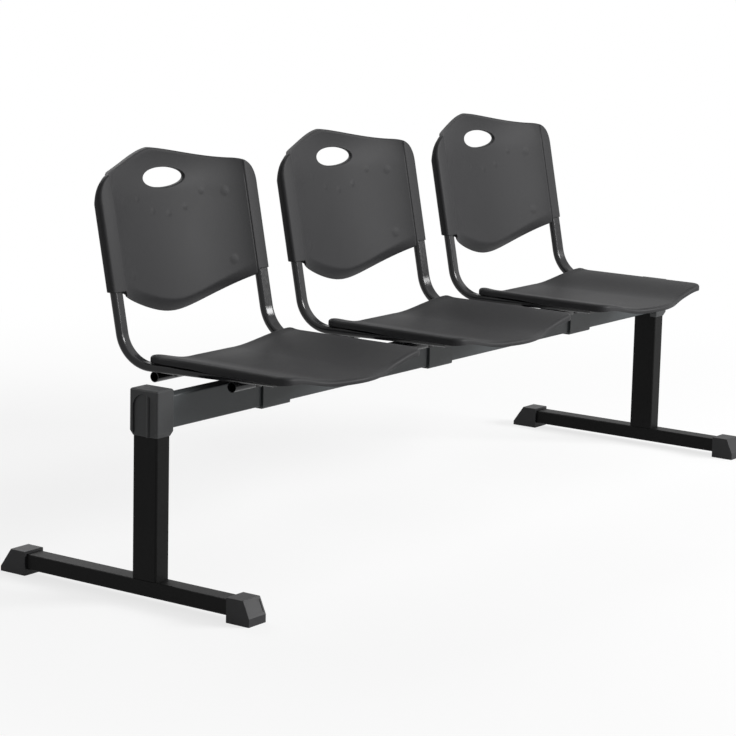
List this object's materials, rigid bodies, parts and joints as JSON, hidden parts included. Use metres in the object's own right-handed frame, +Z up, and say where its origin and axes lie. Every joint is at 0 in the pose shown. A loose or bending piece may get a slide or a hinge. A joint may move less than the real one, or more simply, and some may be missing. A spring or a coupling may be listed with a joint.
{
  "type": "beam seating",
  "caption": "Bench seat of moulded plastic chairs with high backs and handle holes, clamped side by side on a rectangular steel beam between two T-shaped legs.",
  "frame": {"origin": "on the floor, in the middle of the bench's length and midway between the tips of the feet", "axes": "+X along the beam, the sitter faces -Y, +Z up"},
  "size_m": [1.8308, 0.592, 0.772],
  "materials": {
    "frame_steel": "satin black powder coat",
    "chair_tube": "gloss black powder coat",
    "clamp_steel": "satin black powder coat",
    "shell_plastic": "black polypropylene, fine moulded grain",
    "cover_plastic": "black moulded plastic",
    "cap_plastic": "black moulded plastic",
    "plug_plastic": "black moulded plastic",
    "zinc_fastener": "bright zinc plate",
    "black_fastener": "black oxide"
  },
  "bodies": {
    "root": {"back_screws_left": "black_fastener", "back_screws_middle": "black_fastener", "back_screws_right": "black_fastener", "back_shell_left": "shell_plastic", "back_shell_middle": "shell_plastic", "back_shell_right": "shell_plastic", "beam": "frame_steel", "beam_end_plate_left": "frame_steel", "beam_end_plate_right": "frame_steel", "clamp_bolts_left": "zinc_fastener", "clamp_bolts_middle": "zinc_fastener", "clamp_bolts_right": "zinc_fastener", "clamp_nuts_left": "zinc_fastener", "clamp_nuts_middle": "zinc_fastener", "clamp_nuts_right": "zinc_fastener", "clamp_strap_left": "clamp_steel", "clamp_strap_middle": "clamp_steel", "clamp_strap_right": "clamp_steel", "cross_tube_front_left": "chair_tube", "cross_tube_front_middle": "chair_tube", "cross_tube_front_right": "chair_tube", "cross_tube_rear_left": "chair_tube", "cross_tube_rear_middle": "chair_tube", "cross_tube_rear_right": "chair_tube", "foot_cap_front_left": "cap_plastic", "foot_cap_front_right": "cap_plastic", "foot_cap_rear_left": "cap_plastic", "foot_cap_rear_right": "cap_plastic", "leg_base_left": "frame_steel", "leg_base_right": "frame_steel", "leg_bolts_left": "zinc_fastener", "leg_bolts_right": "zinc_fastener", "leg_post_left": "frame_steel", "leg_post_right": "frame_steel", "post_cover_left": "cover_plastic", "post_cover_right": "cover_plastic", "saddle_plate_left": "clamp_steel", "saddle_plate_middle": "clamp_steel", "saddle_plate_right": "clamp_steel", "seat_screws_left": "black_fastener", "seat_screws_middle": "black_fastener", "seat_screws_right": "black_fastener", "seat_shell_left": "shell_plastic", "seat_shell_middle": "shell_plastic", "seat_shell_right": "shell_plastic", "side_frame_left_left": "chair_tube", "side_frame_left_middle": "chair_tube", "side_frame_left_right": "chair_tube", "side_frame_right_left": "chair_tube", "side_frame_right_middle": "chair_tube", "side_frame_right_right": "chair_tube", "tube_plugs_left": "plug_plastic", "tube_plugs_middle": "plug_plastic", "tube_plugs_right": "plug_plastic"}
  },
  "joints": []
}
